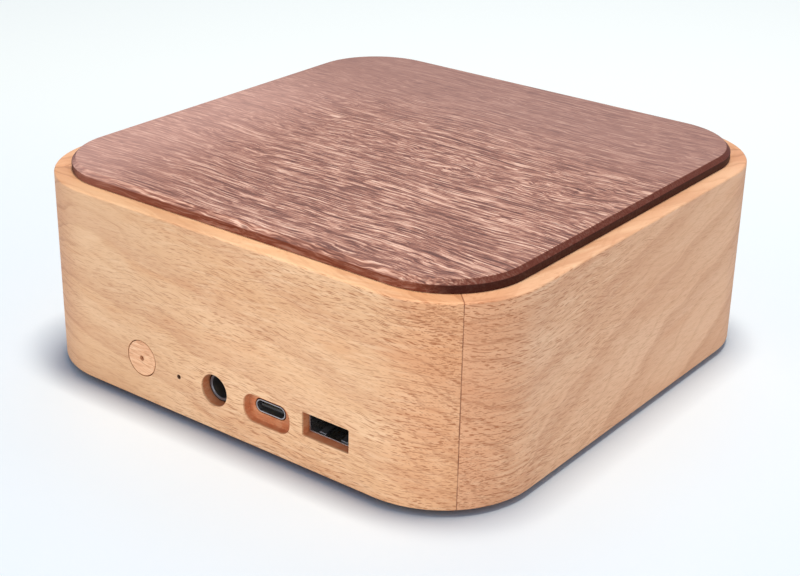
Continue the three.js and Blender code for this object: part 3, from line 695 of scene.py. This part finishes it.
def top_plate():
    n = 40
    w = 2 * TOP_HALF
    t = 2 * TONGUE_HALF
    rings = []

    def ring(d, z, r=None, size=w, keep=None):
        rings.append([(x, y, z) for x, y in rrect(0, 0, size - 2 * d, size - 2 * d, max(0.2, (TOP_R if r is None else r) - d), n)])

    ring(0.3, Z_TOP - TONGUE_H, 0.7, t)
    ring(0.0, Z_TOP - TONGUE_H + 0.3, 0.7, t)
    ring(0.0, Z_TOP, 0.7, t)
    e = 0.25
    z1 = Z_TOP + TOP_SIDE
    z2 = z1 + TOP_CHAMFER
    ring(e, Z_TOP)
    ring(0.07, Z_TOP + 0.07)
    ring(0.0, Z_TOP + e)
    ring(0.0, z1 - 0.16)
    ring(0.02, z1 - 0.07)
    ring(0.06, z1 + 0.02)
    ring(0.13, z1 + 0.12)
    c = TOP_CHAMFER
    ring(c - 0.12, z2 - 0.13)
    ring(c - 0.02, z2 - 0.06)
    ring(c + 0.08, z2 - 0.02)
    ring(c + 0.20, z2)
    return rings_mesh("hardwood_top_plate", rings)


place(smooth(top_plate(), 30), M_SAPELE, slot="dark_hardwood", replaces=["top_plate"])

# ---------------------------------------------------------------- button
b = BUTTON
cap = lathe("button_disc", [(b["bore"] / 2, -69.92), (b["bore"] / 2 + 0.08, -70.0), (b["cap"] / 2 - 0.26, -70.0), (b["cap"] / 2 - 0.10, -69.95),
                            (b["cap"] / 2, -69.78), (b["cap"] / 2, -66.95), (b["bore"] / 2, -66.95)], (b["x"], 0, b["z"]), "Y", 96)
place(smooth(cap, 35), M_CAP, "button", "pale_wood", ["button_cap"])
pl = lathe("button_plunger_pipe", [(0, -68.55), (0.3, -68.6), (0.5, -68.5), (0.55, -68.4), (0.55, -66.9), (5.6, -66.9), (5.8, -66.75), (5.8, -66.25), (5.6, -66.1),
                                   (1.9, -66.1), (1.75, -65.95), (1.75, -63.7), (1.6, -63.6), (0, -63.6)], (b["x"], 0, b["z"]), "Y", 64)
place(smooth(pl, 35), M_SMOKE, "button", "clear_plastic", ["button_plunger"])

# ---------------------------------------------------------------- power socket
j = JACK


def jack_body():
    o = lathe("power_socket_housing", [(0, -67.6), (3.45, -67.6), (3.75, -67.5), (3.9, -67.3), (3.9, -65.4), (0, -65.4)], (j["x"], 0, j["z"]), "Y", 72)
    # flange-less moulded block behind the nose
    block = box_obj("cut", j["x"] - 4.5, -66.7, 8.4, j["x"] + 4.5, -56, 16.2)
    boolean(o, [block], "UNION")
    bore = prism_y("cut", circle(j["x"], j["z"], j["mouth"] / 2, 64), -69, -57.5)
    boolean(o, [bore])
    bevel(o, 0.15, 2, 40, clamp=False)
    return smooth(o)


place(jack_body(), M_GLOSS, slot="black_plastic", replaces=["power_socket_body"])
ring = lathe("power_socket_sleeve", [(2.99, -67.66), (3.40, -67.66), (3.40, -67.58), (3.0, -67.50), (3.0, -58.0), (2.82, -58.0), (2.82, -67.45)], (j["x"], 0, j["z"]), "Y", 72)
place(smooth(ring, 35), M_DULL, slot="steel_shell")
pin = lathe("power_socket_centre_pin", [(0, -65.7), (0.35, -65.68), (0.75, -65.45), (1.0, -65.0), (1.05, -64.6), (1.05, -57.5), (0, -57.5)], (j["x"], 0, j["z"]), "Y", 40)
boolean(pin, [box_obj("cut", j["x"] - 0.12, -67, j["z"] - 2, j["x"] + 0.12, -61.5, j["z"] + 2)])
place(smooth(pin, 35), M_BRASS, slot="contact_brass", replaces=["power_socket_pin"])

# ---------------------------------------------------------------- small socket
c = USBC
r = c["sh"] / 2 - 0.02


def tube_y(name, cx, cz, w, h, r, t, y0, y1, back, n):
    """Folded sheet shell along Y, open at y0, with a closed rear and a rounded mouth."""
    rings = []

    def ring(d, y):
        rings.append([(x, y, z) for x, z in rrect(cx, cz, w - 2 * d, h - 2 * d, max(0.08, r - d), n)])

    ring(0.0, y1)
    ring(0.0, y0 + 0.08)
    ring(0.03, y0 + 0.02)
    ring(t * 0.5, y0)
    ring(t - 0.03, y0 + 0.03)
    ring(t, y0 + 0.12)
    ring(t, back)
    return rings_mesh(name, rings)


shell = tube_y("small_socket_case", c["sx"], c["sz"], c["sw"], c["sh"], r, 0.3, -68.0, -60.7, -61.3, 16)
place(smooth(shell, 35), M_TIN, slot="steel_shell", replaces=["small_socket_shell"])
tongue = box_obj("small_socket_tongue_blade", c["sx"] - 3.35, -67.3, c["sz"] - 0.35, c["sx"] + 3.35, -61.3, c["sz"] + 0.35)
bevel(tongue, 0.14, 2, 40)
place(smooth(tongue), M_GLOSS, slot="black_plastic", replaces=["small_socket_tongue"])


def contacts(name, xs, w, y0, y1, z0, z1):
    bm = bmesh.new()
    for x in xs:
        m = Matrix.Translation(Vector((x, (y0 + y1) / 2, (z0 + z1) / 2)) * MM) @ Matrix.Diagonal((w * MM, (y1 - y0) * MM, (z1 - z0) * MM, 1))
        bmesh.ops.create_cube(bm, size=1.0, matrix=m)
    return from_bm(name, bm)


for i, z in enumerate((c["sz"] + 0.34, c["sz"] - 0.40)):
    k = contacts(f"small_socket_contacts_{i + 1}", [c["sx"] + (q - 5.5) * 0.5 for q in range(12)], 0.27, -67.0, -61.6, z, z + 0.06)
    place(k, M_GOLD, slot="contact_brass")

# ---------------------------------------------------------------- large socket
a = USBA
z0 = Z_PCB
zc = z0 + a["sh"] / 2
shell = tube_y("large_socket_case", a["x"], zc, a["sw"], a["sh"], 0.5, 0.3, Y_MOUTH, -53.7, -54.2, 6)
place(smooth(shell, 35), M_STEEL, slot="steel_shell", replaces=["large_socket_shell"])


def a_tongue():
    top = z0 + a["sh"] - 0.3
    x0, x1 = a["x"] - a["sw"] / 2, a["x"] + a["sw"] / 2
    o = box_obj("large_socket_blade", x0 + 1, -65.7, top - 2.5, x1 - 1, -55, top - 0.75)
    boolean(o, [box_obj("cut", x0 + 0.5, -56, z0 + 0.5, x1 - 0.5, -54.3, top - 0.2)], "UNION")
    bevel(o, 0.2, 2, 40)
    return smooth(o)


place(a_tongue(), M_GLOSS, slot="black_plastic", replaces=["large_socket_tongue"])
top = z0 + a["sh"] - 0.3
k = contacts("large_socket_contacts", [a["x"] + s for s in (-3.5, -1.0, 1.0, 3.5)], 1.0, -65.2, -56.0, top - 2.58, top - 2.48)
place(k, M_GOLD, slot="contact_brass")


def finger(name, cx, z_wall, up):
    """Sprung finger stamped from the shell, bowed into the mouth."""
    prof = [(-66.9, 0.02), (-66.2, 0.10), (-65.2, 0.42), (-64.2, 0.48), (-63.2, 0.36), (-61.0, 0.10), (-60.2, 0.02)]
    rows = []
    for y, d in prof:
        z = z_wall + up * d
        rows.append([(cx - 0.95, y, z), (cx + 0.95, y, z), (cx + 0.95, y, z + up * 0.12), (cx - 0.95, y, z + up * 0.12)])
    return rings_mesh(name, rows)


for i, (dx, wall, up) in enumerate(((-3.2, z0 + 0.3, 1), (3.2, z0 + 0.3, 1))):
    place(smooth(finger(f"large_socket_spring_{i + 1}", a["x"] + dx, wall, up), 50), M_DULL, slot="steel_shell")

# ---------------------------------------------------------------- carried-over pieces
LOOKS = {
    "base_plate": (M_BLACK, 0.3), "button_light": (M_CLEAR, 0.1), "button_switch_actuator": (M_BLACK, 0.1), "button_switch_body": (M_CHIP, 0.15),
    "reset_switch_actuator": (M_WHITE, 0.08), "reset_switch_body": (M_ALU, 0.12), "processor_chip": (M_CHIP, 0.12), "power_inductor": (M_CHIP, 0.2),
    "buzzer": (M_BLACK, 0.3), "capacitor_1": (M_ALU, 0.0), "capacitor_2": (M_ALU, 0.0), "main_board": (M_PCB, 0.0), "co2_sensor_board": (M_PCB, 0.0),
    "display_board": (M_PCB, 0.0), "co2_sensor_chamber": (M_GOLD, 0.3), "co2_sensor_filter": (M_WHITE, 0.1), "sensor_socket": (M_WHITE, 0.12),
    "sensor_plug": (M_WHITE, 0.15), "sensor_cable": (M_CABLE, 0.0), "display_light_guide": (M_WHITE, 0.15), "ribbon_socket_display": (M_WHITE, 0.1),
    "ribbon_socket_main": (M_WHITE, 0.1), "display_ribbon": (M_RIBBON, 0.0),
}
for n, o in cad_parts.items():
    if o.hide_render:
        continue
    if n.startswith("foot_"):
        look = (M_RUBBER, 0.0)
    elif "screw" in n:
        look = (M_ZINC, 0.06)
    else:
        look = LOOKS[n]
    o.data.materials.clear()
    o.data.materials.append(look[0])
    m = o.modifiers.new("weld", "WELD")
    m.merge_threshold = 1e-6
    if look[1]:
        m = o.modifiers.new("edge", "BEVEL")
        m.width = look[1] * MM
        m.segments = 2
        m.limit_method = "ANGLE"
        m.angle_limit = math.radians(40)
        m.harden_normals = True

# feet: turned rubber discs with a rounded lower edge
for i, (sx, sy) in enumerate(((-1, -1), (1, -1), (-1, 1), (1, 1))):
    f = lathe(f"rubber_foot_{i + 1}", [(0, 0.0), (4.6, 0.0), (4.9, 0.05), (5.35, 0.3), (5.7, 0.55), (5.85, 0.9), (6.0, 1.8), (0, 1.8)], (sx * 50, sy * 50, 0), "Z", 64)
    place(smooth(f, 35), M_RUBBER, slot="rubber", replaces=[f"foot_{i + 1}"])

# ---------------------------------------------------------------- floor, light, camera
def floor_material():
    t = Tree("mat_floor")
    p = t.vec("SCALE", t.co, scale=1000.0)
    g = t.noise(p, 0.01, 3.0, 0.5)
    px, py, pz = t.xyz(t.co)
    # painted light: the floor is painted paler towards the back, evening out the falloff of the lamps there
    far = t.remap(t.sub(t.mul(py, 0.8), t.mul(px, 0.6)), -0.03, 0.26)
    near = t.mix(t.remap(g, 0.3, 0.7), (0.82, 0.905, 0.995, 1), (0.81, 0.895, 0.985, 1))
    t.set(color=t.mix(far, near, (0.95, 1.0, 1.0, 1)), rough=0.55, spec=0.3)
    return t.m


me = bpy.data.meshes.new("floor")
me.from_pydata([(-4, -4, 0), (4, -4, 0), (4, 4, 0), (-4, 4, 0)], [], [(0, 1, 2, 3)])
floor = new_object("floor", me)
floor.data.materials.append(floor_material())
floor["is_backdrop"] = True


def area(name, loc, aim, size, power, colour=(1, 1, 1), size_y=None):
    d = bpy.data.lights.new(name, "AREA")
    d.energy = power
    d.color = colour
    d.size = size
    if size_y:
        d.shape = "RECTANGLE"
        d.size_y = size_y
    o = bpy.data.objects.new(name, d)
    bpy.context.scene.collection.objects.link(o)
    o.location = loc
    o.rotation_euler = (Vector(aim) - Vector(loc)).to_track_quat("-Z", "Y").to_euler()
    return o


def only_for(light, objects):
    """A fill light that reaches the object and leaves the floor alone."""
    c = bpy.data.collections.new(light.name + "_receivers")
    for o in objects:
        c.objects.link(o)
    light.light_linking.receiver_collection = c


area("top", (0.05, 0.035, 1.25), (0.05, 0.035, 0), 0.40, 12.7, (1.0, 0.911, 0.773), 0.20)
pieces = [o for o in bpy.data.objects if o.type == "MESH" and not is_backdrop(o)]
only_for(area("fill_left", (-0.38, -1.30, 0.50), (0, 0, 0.03), 0.9, 10.6, (1.0, 0.985, 0.94)), pieces)
only_for(area("fill_right", (1.00, -0.62, 0.42), (0, 0, 0.03), 0.9, 7.1, (1.0, 0.985, 0.935)), pieces)
only_for(area("wash", (-0.35, 0.75, 0.90), (-0.20, 0.35, 0), 0.6, 1.3, (1.0, 0.97, 0.93)), [floor])
only_for(area("back", (-0.7, 1.0, 0.60), (0, 0, 0.05), 0.9, 1.6, (0.98, 0.985, 1.0)), pieces)

world = bpy.data.worlds.new("studio")
bpy.context.scene.world = world
world.use_nodes = True
bg = world.node_tree.nodes["Background"]
bg.inputs[0].default_value = (0.80, 1.0, 1.30, 1)
bg.inputs[1].default_value = 0.32
bpy.context.scene.view_settings.view_transform = "Standard"

# Camera at the angle of the reference view.
W = 0.140
AZ, EL, ROLL = math.radians(37.159), math.radians(24.221), math.radians(1.198)
DIST, TX, TY, FPX = 3.0409, -0.0068, 0.0887, 1585.6
back = Vector((math.sin(AZ) * math.cos(EL), -math.cos(AZ) * math.cos(EL), math.sin(EL)))
rt = (-back).cross(Vector((0, 0, 1))).normalized()
up = rt.cross(-back)
r2 = math.cos(ROLL) * rt + math.sin(ROLL) * up
u2 = -math.sin(ROLL) * rt + math.cos(ROLL) * up
cd = bpy.data.cameras.new("camera")
cd.sensor_width = 36.0
cd.lens = FPX / 800 * 36.0
cd.clip_start = 0.01
cam = bpy.data.objects.new("camera", cd)
bpy.context.scene.collection.objects.link(cam)
loc = (back * DIST + r2 * TX + u2 * TY) * W + Vector((0, 0, Z_BODY * MM))
cam.matrix_world = Matrix(((r2.x, u2.x, back.x, loc.x), (r2.y, u2.y, back.y, loc.y), (r2.z, u2.z, back.z, loc.z), (0, 0, 0, 1)))
bpy.context.scene.camera = cam

bpy.context.view_layer.update()
